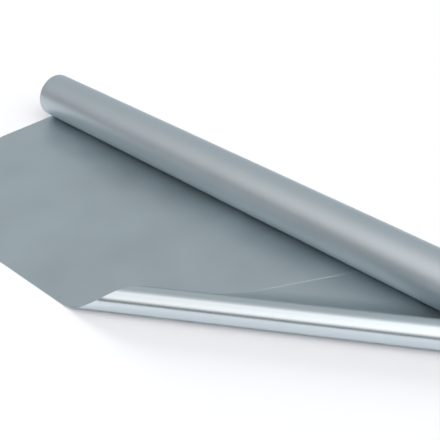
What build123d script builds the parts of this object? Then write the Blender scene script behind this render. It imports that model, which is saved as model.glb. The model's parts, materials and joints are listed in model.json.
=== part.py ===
"""Roll of metallised film on a cardboard tube, part unrolled, with one corner curled over.

The roll's axis runs along X and the unrolled film lies towards -Y. The origin is on the
floor under the middle of the roll, with +Z up. All lengths are in millimetres.
"""
import os
from math import atan2, ceil, cos, pi, radians, sin, tan

from build123d import *

# The roll
film_width = 700.0        # width of the film, which is the length of the roll
core_bore = 38.0          # inside of the cardboard tube
core_wall = 2.0           # wall of the cardboard tube
wound_depth = 8.0         # film on the tube, from the tube out to the last turn
flat_spot_depth = 0.25    # how much of the roll its own weight flattens underneath

# The film, drawn thicker than the real film's 0.03
film_thickness = 0.3

# The unrolled stretch and the corner that is turned over
unrolled_length = 263.8   # from under the roll's axis to the cut edge
turned_edge = 370.7       # length of the cut edge that is turned over, from the near side
fold_to_axis = 26.4       # where the fold leaves the near side, in front of the roll's axis
curl_radius = 15.0        # outside of the curl
settle_angle = 53.0       # how steeply the film comes down behind the curl, in degrees
flap_gap = 0.3            # air between the flap and the film that it lies on
flap_cut_angle = 26.7     # from the fold to the flap's cut edge, in degrees
flap_tip = 3.0            # width of the flap's blunt corner

# The edges of the turns, seen on the ends of the roll
turn_pitch = 1.7          # from one drawn turn to the next
turn_groove = 0.5         # width of the groove between drawn turns
groove_depth = 0.5        # how deep that groove is

# Sizes that follow
core_radius = core_bore / 2 + core_wall
roll_radius = core_radius + wound_depth
roll_diameter = 2 * roll_radius
axis_height = roll_radius - flat_spot_depth
near_side = film_width / 2
fold_angle = atan2(unrolled_length - fold_to_axis, turned_edge)
settle = radians(settle_angle)
flap_cut = radians(flap_cut_angle)
flap_top = 2 * film_thickness + flap_gap
settle_radius = (curl_radius * (1 + cos(settle)) - flap_top) / (1 - cos(settle))
curl_top = curl_radius * pi
curl_end = curl_radius * (pi + settle)
settle_end = curl_end + settle_radius * settle

# The far end of the roll, facing along its axis
far_end = Plane((-near_side, 0, axis_height), x_dir=(0, 1, 0), z_dir=(1, 0, 0))

# Directions along and across the fold, and the point where the fold starts
fold_point = Vector(near_side - turned_edge, -unrolled_length, 0)
along_fold = Vector(cos(fold_angle), sin(fold_angle), 0)
behind_fold = Vector(-sin(fold_angle), cos(fold_angle), 0)
up = Vector(0, 0, 1)


def curl_section(run):
    """Place and inward normal of the film's bright face, a length of film past the fold."""
    if run <= curl_end:
        turn = run / curl_radius
        place = (-curl_radius * sin(turn), curl_radius * (1 - cos(turn)))
    elif run <= settle_end:
        turn = pi + settle - (run - curl_end) / settle_radius
        slope = turn - pi
        sweep = sin(settle) - sin(slope)
        place = (
            curl_radius * sin(settle) + settle_radius * sweep,
            flap_top + settle_radius * (1 - cos(slope)),
        )
    else:
        turn = pi
        landing = (curl_radius + settle_radius) * sin(settle)
        place = (landing + run - settle_end, flap_top)
    return place, (sin(turn), cos(turn))


def cut_edge(run):
    """How far along the fold the cut edge crosses, a length of film past the fold."""
    on_flap = max(run - curl_top, 0)
    return (run - on_flap) / tan(fold_angle) + on_flap / tan(flap_cut)


def side_edge(run):
    """How far along the fold the film's near side crosses, a length of film past the fold."""
    return (turned_edge - run * sin(fold_angle)) / cos(fold_angle)


def flap_length():
    """Length of film past the fold to the flap's blunt corner."""
    room = side_edge(curl_top) - cut_edge(curl_top) - flap_tip
    return curl_top + room / (1 / tan(flap_cut) + tan(fold_angle))


def film_point(run, along, depth):
    """Point of the turned-over film, a depth into it from its bright face."""
    (across, height), (inward, inward_up) = curl_section(run)
    flat = fold_point + along_fold * along + behind_fold * (across + depth * inward)
    return flat + up * (height + depth * inward_up)


def turned_corner():
    """Curl and flap: one thin strip of film, ruled from its cut edge to its near side."""
    steps = 40
    runs = [flap_length() * step / steps for step in range(steps + 1)]

    def edge_curve(along, depth):
        points = [film_point(run, along(run), depth) for run in runs]
        return Edge.make_spline(points, parameters=runs)

    cut_bright = edge_curve(cut_edge, 0)
    cut_inner = edge_curve(cut_edge, film_thickness)
    side_bright = edge_curve(side_edge, 0)
    side_inner = edge_curve(side_edge, film_thickness)
    ends = []
    for end in (0, 1):
        bright = Edge.make_line(cut_bright @ end, side_bright @ end)
        inner = Edge.make_line(cut_inner @ end, side_inner @ end)
        ends.append(Face.make_surface_from_curves(bright, inner))
    skin = [
        Face.make_surface_from_curves(cut_bright, side_bright),
        Face.make_surface_from_curves(cut_inner, side_inner),
        Face.make_surface_from_curves(cut_bright, cut_inner),
        Face.make_surface_from_curves(side_bright, side_inner),
    ]
    return Solid(Shell(skin + ends))


def behind_axis():
    """Everything behind the roll's axis, where the flap's corner is wound in and can't be seen."""
    behind = (Align.CENTER, Align.MIN, Align.CENTER)
    return Box(2 * film_width, 2 * film_width, 2 * roll_diameter, align=behind)


def unrolled_web():
    """Flat stretch of film, from under the roll to the cut edge and the fold."""
    outline = Polyline(
        (-near_side, 0),
        (-near_side, -unrolled_length),
        (near_side - turned_edge, -unrolled_length),
        (near_side, -fold_to_axis),
        (near_side, 0),
        close=True,
    )
    return extrude(make_face(outline), film_thickness)


def turn_spiral():
    """Spiral band between the drawn turns, as semicircles about two centres."""
    first = core_radius + turn_pitch
    half_turns = 2 * ceil((roll_radius - first) / turn_pitch) - 2
    inner = []
    outer = []
    for half in range(half_turns):
        centre = turn_pitch / 2 * (half % 2)
        radius = first + half * turn_pitch / 2
        start = 180 * (half % 2)
        for band, offset in ((inner, -turn_groove / 2), (outer, turn_groove / 2)):
            band.append(CenterArc((centre, 0), radius + offset, start, 180))
    caps = [Line(inner[0] @ 0, outer[0] @ 0), Line(inner[-1] @ 1, outer[-1] @ 1)]
    return make_face(inner + outer + caps)


def wound_turns():
    """The wound film, flattened where it lies, with the edges of its turns on both ends."""
    turns = extrude(far_end * (Circle(roll_radius) - Circle(core_radius)), film_width)
    groove = extrude(far_end * turn_spiral(), groove_depth)
    turns -= groove
    turns -= Pos(film_width - groove_depth, 0, 0) * groove
    below = (Align.CENTER, Align.CENTER, Align.MAX)
    return turns - Box(2 * film_width, 2 * roll_diameter, roll_diameter, align=below)


def core_tube():
    """Cardboard tube, cut flush with the film."""
    return extrude(far_end * (Circle(core_radius) - Circle(core_bore / 2)), film_width)


os.makedirs("parts", exist_ok=True)
film = wound_turns() + unrolled_web() + (turned_corner() - behind_axis())
export_step(film, "parts/film.step")
export_step(core_tube(), "parts/core_tube.step")
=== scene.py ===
"""Looks of a roll of metallised film on a cardboard tube, part unrolled, one corner curled over.

The file is laid out as an add-on and run as a script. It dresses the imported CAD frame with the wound
film, the unrolled film and the cardboard tube, then sets up the floor, the light and the camera.
Lengths are in metres, in the CAD frame: X along the roll, the unrolled film towards -Y, Z up.
"""
import json
from math import atan2, cos, pi, radians, sin, tan

import bpy
from bpy.props import FloatProperty, FloatVectorProperty, IntProperty, PointerProperty
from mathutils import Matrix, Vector


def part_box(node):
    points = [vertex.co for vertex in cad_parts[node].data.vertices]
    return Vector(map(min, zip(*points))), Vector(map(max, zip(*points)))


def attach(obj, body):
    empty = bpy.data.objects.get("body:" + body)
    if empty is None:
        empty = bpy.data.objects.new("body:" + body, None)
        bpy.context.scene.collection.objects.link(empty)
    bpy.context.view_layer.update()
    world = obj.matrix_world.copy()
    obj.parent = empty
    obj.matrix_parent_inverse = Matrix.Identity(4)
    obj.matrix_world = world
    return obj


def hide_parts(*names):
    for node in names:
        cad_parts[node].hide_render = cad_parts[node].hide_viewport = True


bl_info = {
    "name": "Metallised film roll",
    "version": (1, 0, 0),
    "blender": (4, 5, 0),
    "location": "View3D > Sidebar > Film roll",
    "description": "Builds the looks of a part-unrolled roll of metallised film around its CAD frame",
    "category": "Object",
}

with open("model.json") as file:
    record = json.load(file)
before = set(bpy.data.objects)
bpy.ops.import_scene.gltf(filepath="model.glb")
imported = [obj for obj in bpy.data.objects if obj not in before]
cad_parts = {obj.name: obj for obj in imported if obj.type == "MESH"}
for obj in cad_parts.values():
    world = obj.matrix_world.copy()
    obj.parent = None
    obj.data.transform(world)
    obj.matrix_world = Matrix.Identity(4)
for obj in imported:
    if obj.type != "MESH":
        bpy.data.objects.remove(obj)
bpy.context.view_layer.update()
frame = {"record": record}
film_low, film_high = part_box("film")
tube_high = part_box("core_tube")[1]
bore_mount = next(mount for mount in frame["record"]["mounts"] if mount["name"] == "core_bore")

FILM_WIDTH = film_high.x - film_low.x
ROLL_RADIUS = film_high.y
UNROLLED_LENGTH = -film_low.y
TUBE_RADIUS = tube_high.y
BORE_RADIUS = bore_mount["dims"]["r_mm"] / 1000
AXIS_HEIGHT = bore_mount["pos_m"][2]

# The UV map that gives each point its place on the flat film, in metres
FLAT_UV = "flat_film"

# Edges that turn by more than this many degrees stay crisp
CRISP_ANGLE = 35


# Settings that a user would change

def metres(name, description, default):
    """A length property, in metres."""
    return FloatProperty(name=name, description=description, default=default, unit="LENGTH", precision=5)


def colour(name, description, default):
    """A colour property, as linear red, green and blue."""
    return FloatVectorProperty(
        name=name, description=description, default=default, subtype="COLOR", size=3, min=0, max=1
    )


def share(name, description, default):
    """A number from 0 to 1."""
    return FloatProperty(
        name=name, description=description, default=default, subtype="FACTOR", min=0, max=1
    )


def amount(name, description, default):
    """A plain number that isn't negative."""
    return FloatProperty(name=name, description=description, default=default, min=0)


def angle(name, description, degrees):
    """An angle property, given in degrees."""
    return FloatProperty(name=name, description=description, default=radians(degrees), subtype="ANGLE")


class WoundFilmSettings(bpy.types.PropertyGroup):
    """Sizes of the turns on the tube."""

    radius: metres("Radius", "Outside of the last turn", ROLL_RADIUS)
    turn_pitch: metres("Turn pitch", "From one drawn turn to the next on the ends", 0.0009)
    groove_depth: metres("Groove depth", "How far the groove between two drawn turns goes in", 0.00035)
    stagger: metres("Stagger", "How far the edges of the turns stand in and out", 0.00018)
    edge_round: metres("Edge round", "Rounding where the last turn meets the ends", 0.0009)
    unevenness: metres("Unevenness", "Height of the main wave along the last turn", 0.00005)
    around: IntProperty(name="Steps around", description="Steps round the roll", default=240, min=24)


class UnrolledFilmSettings(bpy.types.PropertyGroup):
    """Sizes of the unrolled stretch, its curled corner and the flap."""

    length: metres("Length", "From under the roll's axis to the cut edge", UNROLLED_LENGTH)
    thickness: metres("Thickness", "Drawn thickness of the film", 0.0003)
    turned_edge: metres("Turned edge", "Length of the cut edge that is turned over", 0.3707)
    fold_to_axis: metres("Fold to axis", "Where the fold leaves the near side, before the axis", 0.0264)
    curl_radius: metres("Curl radius", "Outside of the curl", 0.015)
    settle_angle: angle("Settle angle", "How steeply the film comes down behind the curl", 53)
    flap_gap: metres("Flap gap", "Air between the flap and the film under it", 0.0003)
    flap_cut_angle: angle("Flap cut angle", "From the fold to the flap's cut edge", 26.7)
    flap_tip: metres("Flap tip", "Width of the flap's blunt corner", 0.003)
    flap_end: metres("Flap end", "Where the flap goes in under the roll, before the axis", 0.0076)
    edge_lift: metres("Edge lift", "How far the flap's cut edge stands up", 0.00035)
    edge_lift_width: metres("Edge lift width", "How wide the strip is that stands up", 0.0025)
    ripple_height: metres("Ripple height", "Height of the soft ripples in the flat film", 0.0011)
    grid_step: metres("Grid step", "Size of the mesh's cells", 0.004)


class CoreTubeSettings(bpy.types.PropertyGroup):
    """Sizes of the cardboard tube."""

    radius: metres("Radius", "Outside of the tube", TUBE_RADIUS)
    bore_radius: metres("Bore radius", "Inside of the tube", BORE_RADIUS)
    edge_bevel: metres("Edge bevel", "Softened edge of the cut ends", 0.00025)
    seam_pitch: metres("Seam pitch", "From one turn of the spiral seam to the next", 0.11)
    around: IntProperty(name="Steps around", description="Steps round the tube", default=144, min=24)


class FinishSettings(bpy.types.PropertyGroup):
    """Colours and gloss of the surfaces."""

    film_tint: colour("Film tint", "Colour of the metallised film", (0.52, 0.592, 0.63))
    # The curl's tint is a painted sheen: a lighter copy of the outer face's tint, where the curl
    # reflects the light
    painted_sheen_tint: colour("Bright tint", "Colour of the outer face on the curl", (0.655, 0.735, 0.78))
    wound_tint: colour("Wound tint", "Colour of the outer face on the roll", (0.552, 0.622, 0.664))
    bright_roughness: share("Bright roughness", "Roughness of the outer face on the curl", 0.26)
    worn_roughness: share("Worn roughness", "Roughness of the outer face on the flap", 0.44)
    wound_roughness: share("Wound roughness", "Roughness of the outer face on the roll", 0.48)
    satin_roughness: share("Satin roughness", "Roughness of the film's inner face", 0.42)
    metal_share: share("Metal share", "How much of the film's sheen is metal", 0.94)
    wound_metal_share: share("Wound metal share", "The same on the roll", 0.97)
    streak_depth: amount("Streak depth", "How much the fine streaks count in tint and gloss", 0.3)
    cloud_depth: amount("Cloud depth", "How much the soft clouds count on the outer face", 0.3)
    inner_cloud_depth: amount("Inner cloud depth", "The same on the inner face", 1.8)
    tint_swing: share("Tint swing", "How much streaks and clouds lighten or darken the film", 0.08)
    gloss_swing: share("Gloss swing", "How much streaks and clouds change the film's roughness", 0.12)
    dent_height: metres("Dent height", "Height of the soft dents in the film", 0.00012)
    board: colour("Board", "Colour of the cardboard", (0.40, 0.26, 0.145))
    board_dark: colour("Board shade", "Colour of the cardboard's darker fibres", (0.27, 0.165, 0.085))
    board_roughness: share("Board roughness", "Least roughness of the cardboard", 0.75)
    fibre_height: metres("Fibre height", "Scale of the relief of the fibres and lines", 0.0002)
    floor: colour("Floor", "Colour of the floor", (0.84, 0.857, 0.882))


class StudioSettings(bpy.types.PropertyGroup):
    """Floor, light and camera."""

    floor_size: metres("Floor size", "Side of the square floor", 12.0)
    floor_drop: metres("Floor drop", "Air between the floor and the film", 0.0001)
    light_height: angle("Light height", "How high the broad light stands", 38)
    light_turn: angle("Light turn", "Turn of the broad light about Z, from the front", 35)
    window_strength: amount("Window strength", "Strength of the window on the right", 0.75)
    low_light_strength: amount("Low light strength", "Strength of the light beyond the far end", 2.25)
    low_light_height: angle("Low light height", "How high the low light stands", 16)
    low_light_turn: angle("Low light turn", "Turn of the low light about Z, from the far end", -10)
    low_light_spread: angle("Low light spread", "How wide the low light looks from the roll", 24)
    lens: amount("Lens", "Focal length in millimetres", 71.83)
    sensor_width: amount("Sensor width", "Width of the camera's sensor in millimetres", 36)
    camera_place: FloatVectorProperty(
        name="Camera place",
        description="Place of the camera",
        default=(0.57135, -0.66263, 0.57924),
        subtype="TRANSLATION",
    )
    camera_down: angle("Camera pitch", "How far the camera looks down", 34.48)
    camera_turn: angle("Camera turn", "Turn of the camera about Z", 42.64)


class FilmRollSettings(bpy.types.PropertyGroup):
    """All the settings of the roll."""

    wound: PointerProperty(type=WoundFilmSettings)
    unrolled: PointerProperty(type=UnrolledFilmSettings)
    tube: PointerProperty(type=CoreTubeSettings)
    finish: PointerProperty(type=FinishSettings)
    studio: PointerProperty(type=StudioSettings)


# Shader maths

class Signal:
    """The output of a shader node, for use in sums, differences and products."""

    def __init__(self, shader, socket):
        self.shader = shader
        self.socket = socket

    def math(self, operation, *others):
        """A Math node's result, with this signal as its first value."""
        return self.shader.math(operation, self, *others)

    def __add__(self, other):
        return self.math("ADD", other)

    def __radd__(self, other):
        return self.shader.math("ADD", other, self)

    def __sub__(self, other):
        return self.math("SUBTRACT", other)

    def __rsub__(self, other):
        return self.shader.math("SUBTRACT", other, self)

    def __mul__(self, other):
        return self.math("MULTIPLY", other)

    def __rmul__(self, other):
        return self.shader.math("MULTIPLY", other, self)

    def __truediv__(self, other):
        return self.math("DIVIDE", other)

    def __rtruediv__(self, other):
        return self.shader.math("DIVIDE", other, self)

    def __pow__(self, other):
        return self.math("POWER", other)

    def __rpow__(self, other):
        return self.shader.math("POWER", other, self)


class Shader:
    """A node tree that is written as expressions."""

    def __init__(self, owner):
        owner.use_nodes = True
        self.tree = owner.node_tree
        self.tree.nodes.clear()

    def node(self, kind, settings=None, sockets=None, output=0):
        """Adds a node, sets it up, fills its sockets with values or links, and gives one output."""
        made = self.tree.nodes.new(kind)
        for name, value in (settings or {}).items():
            if name == "stops":
                self.fill_ramp(made.color_ramp, value)
            else:
                setattr(made, name, value)
        for key, value in (sockets or {}).items():
            if isinstance(value, Signal):
                self.tree.links.new(value.socket, made.inputs[key])
            else:
                made.inputs[key].default_value = value
        return Signal(self, made.outputs[output]) if made.outputs else None

    def fill_ramp(self, ramp, stops):
        """Gives a colour ramp its stops, each a place and a colour."""
        while len(ramp.elements) < len(stops):
            ramp.elements.new(0.5)
        for element, (place, rgb) in zip(ramp.elements, stops):
            element.position = place
            element.color = opaque(rgb)

    def math(self, operation, *values):
        """The result of a Math node."""
        return self.node("ShaderNodeMath", {"operation": operation}, dict(enumerate(values)))

    def dot(self, vector, direction):
        """How far a vector reaches in a direction."""
        sockets = {0: vector, 1: direction}
        return self.node("ShaderNodeVectorMath", {"operation": "DOT_PRODUCT"}, sockets, output="Value")

    def axis(self, vector, name):
        """One part of a vector: X, Y or Z."""
        return self.node("ShaderNodeSeparateXYZ", {}, {"Vector": vector}, output=name)

    def fade(self, value, start, end, first=0.0, last=1.0, kind="LINEAR"):
        """A level that goes from first to last while a value goes from start to end."""
        limits = {"From Min": start, "From Max": end, "To Min": first, "To Max": last}
        return self.node("ShaderNodeMapRange", {"interpolation_type": kind}, {"Value": value, **limits})

    def blend(self, factor, first, second):
        """Mixes two colours."""
        sockets = {"Factor": factor, "A": first, "B": second}
        return self.node("ShaderNodeMix", {"data_type": "RGBA"}, sockets, output=2)

    def noise(self, vector, scale, detail=2.0, roughness=0.5):
        """Noise from 0 to 1."""
        sockets = {"Vector": vector, "Scale": scale, "Detail": detail, "Roughness": roughness}
        return self.node("ShaderNodeTexNoise", {"noise_dimensions": "3D"}, sockets)

    def stretched(self, vector, scale):
        """A vector stretched along its axes."""
        return self.node("ShaderNodeMapping", {}, {"Vector": vector, "Scale": scale})

    def bump(self, height, distance):
        """A normal that leans with a height, which counts in shares of a distance in metres."""
        return self.node("ShaderNodeBump", {}, {"Height": height, "Distance": distance, "Strength": 1.0})


def opaque(rgb):
    """A colour with full alpha."""
    return (*rgb, 1.0)


def surface_of(shader, inputs):
    """Ends a material's tree with a surface shader."""
    surface = shader.node("ShaderNodeBsdfPrincipled", {}, inputs)
    shader.node("ShaderNodeOutputMaterial", {}, {"Surface": surface})


# How closely the film's patterns repeat, in each metre across the film and along it
STREAK_SCALE = (900.0, 9.0, 1.0)
DENT_SCALE = (26.0, 16.0, 1.0)
CLOUD_SCALE = 9.0


def film_material(name, finish, tint, metal_share, roughness, cloud_depth, brightness=None):
    """Metallised film, with faint streaks along its length and soft clouds in its gloss.

    The painted sheen and gloss mask, where it is given, is a function of the tree and of the place on
    the flat film.
    It is 1 where the film has a painted sheen, a lighter tint in place of reflected light, and an even,
    smoother gloss.
    """
    material = bpy.data.materials.new(name)
    shader = Shader(material)
    flat = shader.node("ShaderNodeUVMap", {"uv_map": FLAT_UV})
    streaks = shader.noise(shader.stretched(flat, STREAK_SCALE), 1.0)
    clouds = shader.noise(flat, CLOUD_SCALE)
    dents = shader.noise(shader.stretched(flat, DENT_SCALE), 1.0, detail=1.0)
    shade = (streaks - 0.5) * finish.streak_depth + (clouds - 0.5) * cloud_depth
    lighter = opaque(part * (1 + finish.tint_swing) for part in tint)
    darker = opaque(part * (1 - finish.tint_swing) for part in tint)
    base = shader.blend(shade + 0.5, darker, lighter)
    gloss = shade * finish.gloss_swing + roughness
    # Painted sheen: a lighter tint of the same face where the curl reflects the light, with a real,
    # smoother gloss
    if brightness:
        sheen_and_gloss_mask = brightness(shader, flat)
        base = shader.blend(sheen_and_gloss_mask, base, opaque(finish.painted_sheen_tint))
        gloss = gloss * (1 - sheen_and_gloss_mask) + sheen_and_gloss_mask * finish.bright_roughness
    inputs = {
        "Base Color": base,
        "Metallic": metal_share,
        "Roughness": gloss,
        "Normal": shader.bump(dents, finish.dent_height),
    }
    surface_of(shader, inputs)
    return material


# The cardboard's patterns: how closely they repeat in each metre, and the lines of its seam and plies
FIBRE_SCALE = (500.0, 2400.0, 2400.0)
BLOTCH_SCALE = 60.0
SEAM_SHARE = 0.012
PLIES = 5
PLY_LINE_SHARE = 0.09
CUT_END_DEPTH = 0.0001


def board_material(finish, tube):
    """Spirally wound cardboard: fibres, a seam that winds along the tube, and plies on the cut ends."""
    material = bpy.data.materials.new("kraft_board")
    shader = Shader(material)
    place = shader.node("ShaderNodeTexCoord", output="Object")
    to_axis = {"Vector": place, "Location": (0.0, 0.0, -AXIS_HEIGHT)}
    centred = shader.node("ShaderNodeMapping", {}, to_axis)
    along = shader.axis(centred, "X")
    side = shader.axis(centred, "Y")
    height = shader.axis(centred, "Z")
    turn = side.math("ARCTAN2", height) / (2 * pi)
    seam = (along / tube.seam_pitch + turn).math("FRACT").math("LESS_THAN", SEAM_SHARE)
    radius = (side * side + height * height) ** 0.5
    ply_place = (radius - tube.bore_radius) / (tube.radius - tube.bore_radius) * PLIES
    ply = ply_place.math("PINGPONG", 0.5).math("LESS_THAN", PLY_LINE_SHARE)
    on_end = along.math("ABSOLUTE").math("GREATER_THAN", FILM_WIDTH / 2 - CUT_END_DEPTH)
    fibres = shader.noise(shader.stretched(centred, FIBRE_SCALE), 1.0, detail=4.0, roughness=0.7)
    blotches = shader.noise(centred, BLOTCH_SCALE, detail=3.0)
    shade = fibres * 0.6 + blotches * 0.4 - 0.1
    lines = (seam * (1 - on_end) + ply * on_end) * 0.5
    inputs = {
        "Base Color": shader.blend(shade + lines, opaque(finish.board), opaque(finish.board_dark)),
        "Roughness": fibres * 0.15 + finish.board_roughness,
        "Normal": shader.bump(fibres * 0.4 - lines, finish.fibre_height),
    }
    surface_of(shader, inputs)
    return material


# Modelling helpers

def deselect_all():
    """Leaves nothing selected, so that an operator acts only on the new piece."""
    bpy.ops.object.select_all(action="DESELECT")


def activate(piece):
    """Makes a piece the only selected and active object."""
    deselect_all()
    piece.select_set(True)
    bpy.context.view_layer.objects.active = piece


def apply_modifiers(piece):
    """Applies a piece's modifiers in order."""
    activate(piece)
    for modifier in list(piece.modifiers):
        bpy.ops.object.modifier_apply(modifier=modifier.name)


def mesh_piece(name, points, faces, flat_places):
    """A new mesh object, with a UV map of each point's place on the flat film."""
    mesh = bpy.data.meshes.new(name)
    mesh.from_pydata(points, [], faces)
    layer = mesh.uv_layers.new(name=FLAT_UV)
    for loop in mesh.loops:
        layer.data[loop.index].uv = flat_places[loop.vertex_index]
    piece = bpy.data.objects.new(name, mesh)
    bpy.context.scene.collection.objects.link(piece)
    return piece


def face_outwards(piece):
    """Turns the faces of a closed piece outwards."""
    activate(piece)
    bpy.ops.object.mode_set(mode="EDIT")
    bpy.ops.mesh.select_all(action="SELECT")
    bpy.ops.mesh.normals_make_consistent(inside=False)
    bpy.ops.object.mode_set(mode="OBJECT")


def smooth(piece):
    """Smooth shading, with sharp edges kept crisp."""
    activate(piece)
    bpy.ops.object.shade_smooth_by_angle(angle=radians(CRISP_ANGLE))


def spaced(start, end, spans):
    """Evenly spaced numbers from start to end, with a number of spans between them."""
    return [start + (end - start) * step / spans for step in range(spans + 1)]


def eased(value):
    """Smooth step from 0 to 1."""
    value = min(max(value, 0.0), 1.0)
    return value * value * (3 - 2 * value)


# The wound film

# Waves along the last turn: height, radians in each metre along the roll, and start
BULGE_WAVES = ((1.0, 41, 0.6), (0.7, 97, 2.1), (0.4, 233, 0.0))


class WoundRoll:
    """The turns on the tube: the last turn, flat where it lies, and the edges of the turns."""

    corner_steps = 6
    skin_spans = 64
    rings_per_turn = 6
    rings_to_full_depth = 3

    def __init__(self, wound, film_thickness):
        self.wound = wound
        self.film_thickness = film_thickness
        self.half = FILM_WIDTH / 2
        self.points = []
        self.flat = []
        self.faces = []

    def add_ring(self, spots):
        """Adds a closed ring of points, each a place along the roll and a radius."""
        ring = range(len(self.points), len(self.points) + self.wound.around)
        for step, (x, radius) in enumerate(spots):
            turn = 2 * pi * step / self.wound.around
            lies_on = self.film_thickness if turn > pi else 0
            height = AXIS_HEIGHT - radius * cos(turn)
            self.points.append((x, radius * sin(turn), max(height, lies_on)))
            self.flat.append((x, turn * radius))
        return ring

    def bulge(self, x):
        """How far the last turn stands out at a place along the roll, which is never past its radius."""
        waves = sum(high * (sin(rate * x + start) - 1) for high, rate, start in BULGE_WAVES)
        return self.wound.unevenness * waves

    def skin_rings(self):
        """Rings of the last turn, from the far end to the near end, rounded at both."""
        round_off = self.wound.edge_round
        reach = self.half - round_off
        corner = []
        for step in reversed(range(self.corner_steps)):
            turn = pi / 2 * step / self.corner_steps
            corner.append((self.half - round_off * (1 - sin(turn)), round_off * (1 - cos(turn))))
        stations = [(-x, drop) for x, drop in corner]
        stations += [(x, 0) for x in spaced(-reach, reach, self.skin_spans)[1:-1]]
        stations += list(reversed(corner))
        for x, drop in stations:
            radius = self.wound.radius + self.bulge(x) - drop
            yield [(x, radius)] * self.wound.around

    def edge_depth(self, turn, side):
        """How far the film's edge is set in on one end, a number of turns in from the last one."""
        groove = (0.5 + 0.5 * cos(2 * pi * turn)) ** 2
        sway = sin(2.4 * turn + side) + 0.8 * sin(5.3 * turn + 1.7 * side)
        return self.wound.groove_depth * groove + self.wound.stagger * (1 + sway / 1.8)

    def end_rings(self, side):
        """Rings of one end, from the last turn in to the tube, which follow the turns' spiral."""
        wound = self.wound
        outermost = wound.radius - wound.edge_round
        count = round((outermost - TUBE_RADIUS) / wound.turn_pitch * self.rings_per_turn)
        for ring in range(1, count + 1):
            radius = outermost + (TUBE_RADIUS - outermost) * ring / count
            set_in = min(ring / self.rings_to_full_depth, 1)
            spots = []
            for step in range(wound.around):
                turn = (outermost - radius) / wound.turn_pitch + step / wound.around
                spots.append((side * (self.half - self.edge_depth(turn, side) * set_in), radius))
            yield spots

    def build(self):
        """Makes the roll's mesh: the far end, the last turn and the near end, closed along the tube."""
        far_end = [self.add_ring(ring) for ring in self.end_rings(-1)]
        skin = [self.add_ring(ring) for ring in self.skin_rings()]
        near_end = [self.add_ring(ring) for ring in self.end_rings(1)]
        rings = list(reversed(far_end)) + skin + near_end
        for here, after in zip(rings, rings[1:] + rings[:1]):
            for step in range(self.wound.around):
                ahead = (step + 1) % self.wound.around
                self.faces.append((here[step], here[ahead], after[ahead], after[step]))
        return mesh_piece("wound_film", self.points, self.faces, self.flat)


class FILMROLL_OT_wound_film(bpy.types.Operator):
    """Build the film that is wound on the tube"""

    bl_idname = "film_roll.wound_film"
    bl_label = "Wound film"

    def execute(self, context):
        settings = context.scene.film_roll
        finish = settings.finish
        piece = WoundRoll(settings.wound, settings.unrolled.thickness).build()
        face_outwards(piece)
        smooth(piece)
        outer_face = film_material(
            "film_outer_wound",
            finish,
            tint=finish.wound_tint,
            metal_share=finish.wound_metal_share,
            roughness=finish.wound_roughness,
            cloud_depth=finish.cloud_depth,
        )
        piece.data.materials.append(outer_face)
        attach(piece, "root")
        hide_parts("film")
        return {"FINISHED"}


# The unrolled film

# Ripples in the flat film: height, radians in each metre along X and along Y, and start
RIPPLE_WAVES = ((1.0, 38, 52, 0.4), (0.6, 61, -33, 1.9), (0.5, 22, 95, 0.0))
RIPPLE_PEAK = sum(wave[0] for wave in RIPPLE_WAVES)

# How far from the fold and from the roll's axis the ripples start, and over what length they grow
RIPPLE_FROM_FOLD = 0.05
RIPPLE_GROWTH_AT_FOLD = 0.08
RIPPLE_FROM_AXIS = 0.03
RIPPLE_GROWTH_AT_AXIS = 0.05

# Where the painted sheen and the smoother gloss start to fade, as a share of the way round to the curl's
# top
FADE_FROM = 0.65


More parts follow.
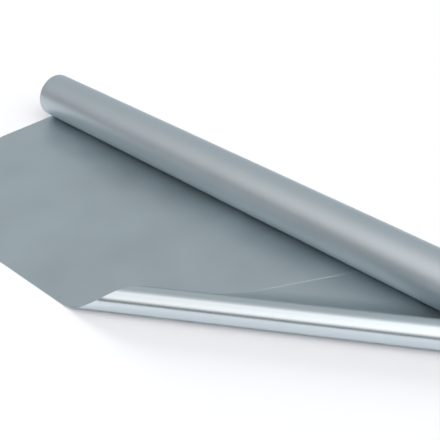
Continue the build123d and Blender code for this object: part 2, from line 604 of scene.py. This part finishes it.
class TurnedSheet:
    """The unrolled stretch of film: flat web, curled corner and flap, from the same flat cut."""

    def __init__(self, sizes):
        self.sizes = sizes
        self.near = FILM_WIDTH / 2
        self.fold_angle = atan2(sizes.length - sizes.fold_to_axis, sizes.turned_edge)
        self.flap_top = 2 * sizes.thickness + sizes.flap_gap
        rise = sizes.curl_radius * (1 + cos(sizes.settle_angle)) - self.flap_top
        self.settle_radius = rise / (1 - cos(sizes.settle_angle))
        self.curl_top = pi * sizes.curl_radius
        self.curl_end = (pi + sizes.settle_angle) * sizes.curl_radius
        self.settle_end = self.curl_end + self.settle_radius * sizes.settle_angle
        self.fold_start = Vector((self.near - sizes.turned_edge, -sizes.length, 0))
        self.along_fold = Vector((cos(self.fold_angle), sin(self.fold_angle), 0))
        self.behind_fold = Vector((-sin(self.fold_angle), cos(self.fold_angle), 0))
        self.far_spans = round((self.fold_start.x + self.near) / sizes.grid_step)
        self.fold_spans = round((self.near - self.fold_start.x) / sizes.grid_step)
        self.points = []
        self.flat = []
        self.faces = []
        self.first_corner_face = 0

    def curl_section(self, run):
        """Place behind the fold and height of the bright face, a length of film past the fold."""
        radius = self.sizes.curl_radius
        settle = self.sizes.settle_angle
        if run <= self.curl_end:
            turn = run / radius
            return -radius * sin(turn), radius * (1 - cos(turn))
        if run <= self.settle_end:
            slope = settle - (run - self.curl_end) / self.settle_radius
            behind = radius * sin(settle) + self.settle_radius * (sin(settle) - sin(slope))
            return behind, self.flap_top + self.settle_radius * (1 - cos(slope))
        landing = (radius + self.settle_radius) * sin(settle)
        return landing + run - self.settle_end, self.flap_top

    def cut_edge(self, run):
        """How far along the fold the cut edge crosses."""
        on_flap = max(run - self.curl_top, 0)
        return (run - on_flap) / tan(self.fold_angle) + on_flap / tan(self.sizes.flap_cut_angle)

    def side_edge(self, run):
        """How far along the fold the near side crosses."""
        return (self.sizes.turned_edge - run * sin(self.fold_angle)) / cos(self.fold_angle)

    def flap_length(self):
        """Length of film past the fold to the flap's blunt corner."""
        room = self.side_edge(self.curl_top) - self.cut_edge(self.curl_top) - self.sizes.flap_tip
        return self.curl_top + room / (1 / tan(self.sizes.flap_cut_angle) + tan(self.fold_angle))

    def edge_lift(self, run, past_edge):
        """How far the flap's cut edge stands up, at a length along the fold past that edge."""
        inside = past_edge * sin(self.fold_angle) / self.sizes.edge_lift_width
        way_down = (run - self.curl_end) / (self.settle_end - self.curl_end)
        grown = eased(3 * way_down)  # full after a third of the way
        return self.sizes.edge_lift * grown * max(1 - inside, 0) ** 2

    def ripple(self, x, y):
        """Height of the soft ripples, which fade out at the fold, the flap and the roll."""
        behind = (Vector((x, y, 0)) - self.fold_start).dot(self.behind_fold)
        off_fold = eased((behind - RIPPLE_FROM_FOLD) / RIPPLE_GROWTH_AT_FOLD)
        off_roll = eased((-y - RIPPLE_FROM_AXIS) / RIPPLE_GROWTH_AT_AXIS)
        waves = 0.0
        for high, rate_x, rate_y, start in RIPPLE_WAVES:
            waves += high * sin(rate_x * x + rate_y * y + start)
        return self.sizes.ripple_height * off_fold * off_roll * (1 + waves / RIPPLE_PEAK) / 2

    def add_point(self, place, flat_place):
        """Adds a point with its place on the flat film, and gives its number."""
        self.points.append(place)
        self.flat.append((flat_place[0], flat_place[1]))
        return len(self.points) - 1

    def web_columns(self):
        """Columns of points from the front of the flat web back to under the axis."""
        fold_x = self.fold_start.x
        rows = round(self.sizes.length / self.sizes.grid_step)
        places = spaced(-self.near, fold_x, self.far_spans)[:-1]
        places += spaced(fold_x, self.near, self.fold_spans)
        columns = []
        for x in places:
            front = -self.sizes.length + max(x - fold_x, 0) * tan(self.fold_angle)
            column = []
            for row in range(rows + 1):
                y = front * (1 - row / rows)
                column.append(self.add_point((x, y, self.ripple(x, y)), (x, y)))
            columns.append(column)
        return columns

    def corner_columns(self, fold_points):
        """Columns of points from the fold round the curl to the end of the flap."""
        # Cells of half the length, for the curl
        steps = round(2 * self.flap_length() / self.sizes.grid_step)
        columns = [[first] for first in fold_points]
        for step in range(1, steps + 1):
            run = self.flap_length() * step / steps
            behind, height = self.curl_section(run)
            start = self.cut_edge(run)
            end = self.side_edge(run)
            for number, column in enumerate(columns):
                along = start + (end - start) * number / (len(columns) - 1)
                base = self.fold_start + self.along_fold * along
                height_here = height + self.edge_lift(run, along - start)
                place = base + self.behind_fold * behind + Vector((0, 0, height_here))
                column.append(self.add_point(place, base - self.behind_fold * run))
        return columns

    def fill(self, columns):
        """Faces between columns, with the bright face outwards."""
        for near, far in zip(columns, columns[1:]):
            for a, b, c, d in zip(near, near[1:], far[1:], far):
                self.faces.append((a, b, c, d))

    def build(self):
        """Makes the sheet's mesh, first the flat web and then the turned corner."""
        web = self.web_columns()
        corner = self.corner_columns([column[0] for column in web[-self.fold_spans - 1:]])
        self.fill(web)
        self.first_corner_face = len(self.faces)
        self.fill([list(reversed(column)) for column in corner])
        return mesh_piece("unrolled_film", self.points, self.faces, self.flat)

    def brightness(self, shader, flat):
        """The outer face's painted sheen, with its smoother gloss: 1 on the front of the curl, fading to
        0 behind its top.
        """
        run = self.fold_start.dot(self.behind_fold) - shader.dot(flat, self.behind_fold)
        return shader.fade(run, FADE_FROM * self.curl_top, self.curl_end, first=1.0, last=0.0)

    def flat_area(self):
        """Area of the flat cut: a rectangle, less the sliver that the flap's skewed cut takes off."""
        steps = 200
        step_run = self.flap_length() / steps
        sliver = 0.0
        for step in range(steps):
            run = step_run * (step + 0.5)
            sliver += (self.cut_edge(run) - run / tan(self.fold_angle)) * step_run
        return FILM_WIDTH * self.sizes.length - sliver


def trim_flap(piece, first_face, flap_end):
    """Cuts the flap off where it goes in under the roll. Its faces come after the flat web's."""
    activate(piece)
    bpy.ops.object.mode_set(mode="EDIT")
    bpy.ops.mesh.select_all(action="DESELECT")
    bpy.ops.object.mode_set(mode="OBJECT")
    for face in piece.data.polygons:
        face.select = face.index >= first_face
    bpy.ops.object.mode_set(mode="EDIT")
    bpy.ops.mesh.bisect(plane_co=(0, -flap_end, 0), plane_no=(0, 1, 0), clear_outer=True)
    bpy.ops.object.mode_set(mode="OBJECT")


def add_film_faces(piece, sheet, finish):
    """Gives the unrolled film its outer face, with a painted sheen and a smoother gloss on the curl, and
    its satin inner face.
    """
    outer_face = film_material(
        "film_outer",
        finish,
        tint=finish.film_tint,
        metal_share=finish.metal_share,
        roughness=finish.worn_roughness,
        cloud_depth=finish.cloud_depth,
        brightness=sheet.brightness,
    )
    inner_face = film_material(
        "film_inner",
        finish,
        tint=finish.film_tint,
        metal_share=finish.metal_share,
        roughness=finish.satin_roughness,
        cloud_depth=finish.inner_cloud_depth,
    )
    piece.data.materials.append(outer_face)
    piece.data.materials.append(inner_face)


class FILMROLL_OT_unrolled_film(bpy.types.Operator):
    """Build the unrolled stretch of film with its curled corner"""

    bl_idname = "film_roll.unrolled_film"
    bl_label = "Unrolled film"

    def execute(self, context):
        settings = context.scene.film_roll
        sheet = TurnedSheet(settings.unrolled)
        piece = sheet.build()
        trim_flap(piece, sheet.first_corner_face, settings.unrolled.flap_end)
        add_film_faces(piece, sheet, settings.finish)
        wall = piece.modifiers.new("film thickness", "SOLIDIFY")
        wall.thickness = settings.unrolled.thickness
        wall.offset = -1
        wall.material_offset = 1
        wall.material_offset_rim = 0
        apply_modifiers(piece)
        smooth(piece)
        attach(piece, "root")
        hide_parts("film")
        sheet.flat_area()
        return {"FINISHED"}


# The cardboard tube

class FILMROLL_OT_core_tube(bpy.types.Operator):
    """Build the cardboard tube that the film is wound on"""

    bl_idname = "film_roll.core_tube"
    bl_label = "Core tube"

    def execute(self, context):
        settings = context.scene.film_roll
        tube = settings.tube
        deselect_all()
        bpy.ops.mesh.primitive_cylinder_add(
            vertices=tube.around,
            radius=tube.radius,
            depth=FILM_WIDTH,
            end_fill_type="NOTHING",
            location=(0, 0, AXIS_HEIGHT),
            rotation=(0, pi / 2, 0),
        )
        piece = context.object
        piece.name = "core_board_tube"
        bpy.ops.object.transform_apply(location=True, rotation=True, scale=True)
        wall = piece.modifiers.new("wall", "SOLIDIFY")
        wall.thickness = tube.radius - tube.bore_radius
        wall.offset = -1
        edge = piece.modifiers.new("cut edges", "BEVEL")
        edge.width = tube.edge_bevel
        edge.segments = 2
        edge.limit_method = "ANGLE"
        edge.angle_limit = radians(60)
        apply_modifiers(piece)
        smooth(piece)
        piece.data.materials.append(board_material(settings.finish, tube))
        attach(piece, "root")
        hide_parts("core_tube")
        return {"FINISHED"}


# Floor, light and camera

# Stops of a place and a level: the walls' towards the left, and the broad light's towards its centre
WALL_LEVELS = ((0.15, 0.36), (0.30, 0.31), (0.45, 0.35), (0.56, 0.37), (0.72, 0.47), (1.0, 0.50))
LIGHT_LEVELS = (
    (0.20, 0.08),
    (0.41, 0.30),
    (0.49, 0.35),
    (0.58, 0.80),
    (0.635, 1.35),
    (0.75, 1.0),
    (0.85, 0.86),
    (1.0, 1.28),
)
COOL = (0.915, 1.0, 1.03)
WARM = (1.085, 1.0, 0.965)

# The walls' strength at the sides, and how much more it is at the back and less in front
WALL_STRENGTH = 0.88
WALL_GROWTH = 0.62

# The height, as a share of straight up, over which the broad light comes in above the horizon
LIGHT_FROM = 0.26
LIGHT_FULL = 0.50

# The direction of the window, and the cosines of the angles from it to its edge and its full strength
TOWARDS_WINDOW = (0.78, 0.25, 0.574)
WINDOW_EDGE = 0.55
WINDOW_FULL = 0.85


def tinted(levels, tint):
    """Stops of a colour ramp, from levels and one tint."""
    return [(place, [level * part for part in tint]) for place, level in levels]


def studio_world(studio):
    """Cool walls, one broad soft light that ends above the horizon, and a window on the right.

    The walls are paler at the back and on the left.
    """
    world = bpy.data.worlds.new("pale_studio")
    bpy.context.scene.world = world
    shader = Shader(world)
    direction = shader.node("ShaderNodeTexCoord", output="Generated")

    left = 0 - shader.axis(direction, "X")
    wall = shader.node("ShaderNodeValToRGB", {"stops": tinted(WALL_LEVELS, COOL)}, {"Fac": left})
    wall_strength = shader.axis(direction, "Y") * WALL_GROWTH + WALL_STRENGTH
    walls = shader.node("ShaderNodeBackground", {}, {"Color": wall, "Strength": wall_strength})

    level = cos(studio.light_height)
    height = sin(studio.light_height)
    towards_light = (level * sin(studio.light_turn), -level * cos(studio.light_turn), height)
    facing = shader.dot(direction, towards_light)
    light = shader.node("ShaderNodeValToRGB", {"stops": tinted(LIGHT_LEVELS, WARM)}, {"Fac": facing})
    above = shader.fade(shader.axis(direction, "Z"), LIGHT_FROM, LIGHT_FULL)
    lamp = shader.node("ShaderNodeBackground", {}, {"Color": light, "Strength": above})

    beside = shader.dot(direction, TOWARDS_WINDOW)
    strength = studio.window_strength
    pane = shader.fade(beside, WINDOW_EDGE, WINDOW_FULL, last=strength, kind="SMOOTHSTEP")
    window = shader.node("ShaderNodeBackground", {}, {"Strength": pane})

    lights = shader.node("ShaderNodeAddShader", {}, {0: lamp, 1: window})
    room = shader.node("ShaderNodeAddShader", {}, {0: walls, 1: lights})
    shader.node("ShaderNodeOutputWorld", {}, {"Surface": room})


def floor_material(finish):
    """Plain white card, with a faint tooth."""
    tooth_scale = 700.0
    tooth_shade = 0.99
    material = bpy.data.materials.new("white_card")
    shader = Shader(material)
    place = shader.node("ShaderNodeTexCoord", output="Object")
    tooth = shader.noise(place, tooth_scale)
    darker = opaque(part * tooth_shade for part in finish.floor)
    shade = shader.blend(tooth, darker, opaque(finish.floor))
    card = shader.node("ShaderNodeBsdfDiffuse", {}, {"Color": shade})
    shader.node("ShaderNodeOutputMaterial", {}, {"Surface": card})
    return material


def add_floor(studio, finish):
    """A wide floor just under the film."""
    deselect_all()
    bpy.ops.mesh.primitive_plane_add(size=studio.floor_size, location=(0, 0, -studio.floor_drop))
    floor = bpy.context.object
    floor.name = "floor"
    floor.data.materials.append(floor_material(finish))


def add_low_light(studio):
    """A low light beyond the far end, which draws the curl's soft shadow on the floor."""
    deselect_all()
    lowered = studio.low_light_height - pi / 2
    bpy.ops.object.light_add(type="SUN", rotation=(0, lowered, studio.low_light_turn))
    light = bpy.context.object
    light.name = "low_light"
    light.data.energy = studio.low_light_strength
    light.data.angle = studio.low_light_spread
    light.visible_glossy = False


def add_camera(studio):
    """The camera, which looks down at the roll across the unrolled film."""
    deselect_all()
    turned = (pi / 2 - studio.camera_down, 0, studio.camera_turn)
    bpy.ops.object.camera_add(location=studio.camera_place, rotation=turned)
    camera = bpy.context.object
    camera.data.sensor_width = studio.sensor_width
    camera.data.lens = studio.lens
    camera.data.clip_start = 0.01
    bpy.context.scene.camera = camera


class FILMROLL_OT_stage(bpy.types.Operator):
    """Set up the floor, the light and the camera"""

    bl_idname = "film_roll.stage"
    bl_label = "Stage"

    def execute(self, context):
        settings = context.scene.film_roll
        add_floor(settings.studio, settings.finish)
        studio_world(settings.studio)
        add_low_light(settings.studio)
        add_camera(settings.studio)
        context.scene.view_settings.view_transform = "Standard"
        return {"FINISHED"}


class FILMROLL_PT_sidebar(bpy.types.Panel):
    """Lists the steps and settings of the film roll"""

    bl_idname = "FILMROLL_PT_sidebar"
    bl_label = "Film roll"
    bl_space_type = "VIEW_3D"
    bl_region_type = "UI"
    bl_category = "Film roll"

    def draw(self, context):
        for step in STEPS:
            self.layout.operator(step.bl_idname)
        settings = context.scene.film_roll
        groups = (settings.wound, settings.unrolled, settings.tube, settings.finish, settings.studio)
        for group in groups:
            box = self.layout.box()
            for name in group.__annotations__:
                box.prop(group, name)


STEPS = (
    FILMROLL_OT_wound_film,
    FILMROLL_OT_unrolled_film,
    FILMROLL_OT_core_tube,
    FILMROLL_OT_stage,
)
CLASSES = (
    WoundFilmSettings,
    UnrolledFilmSettings,
    CoreTubeSettings,
    FinishSettings,
    StudioSettings,
    FilmRollSettings,
    *STEPS,
    FILMROLL_PT_sidebar,
)


def register():
    for part in CLASSES:
        bpy.utils.register_class(part)
    bpy.types.Scene.film_roll = PointerProperty(type=FilmRollSettings)


def unregister():
    del bpy.types.Scene.film_roll
    for part in reversed(CLASSES):
        bpy.utils.unregister_class(part)


def main():
    register()
    bpy.ops.film_roll.wound_film()
    bpy.ops.film_roll.unrolled_film()
    bpy.ops.film_roll.core_tube()
    bpy.ops.film_roll.stage()


if __name__ == "__main__":
    main()
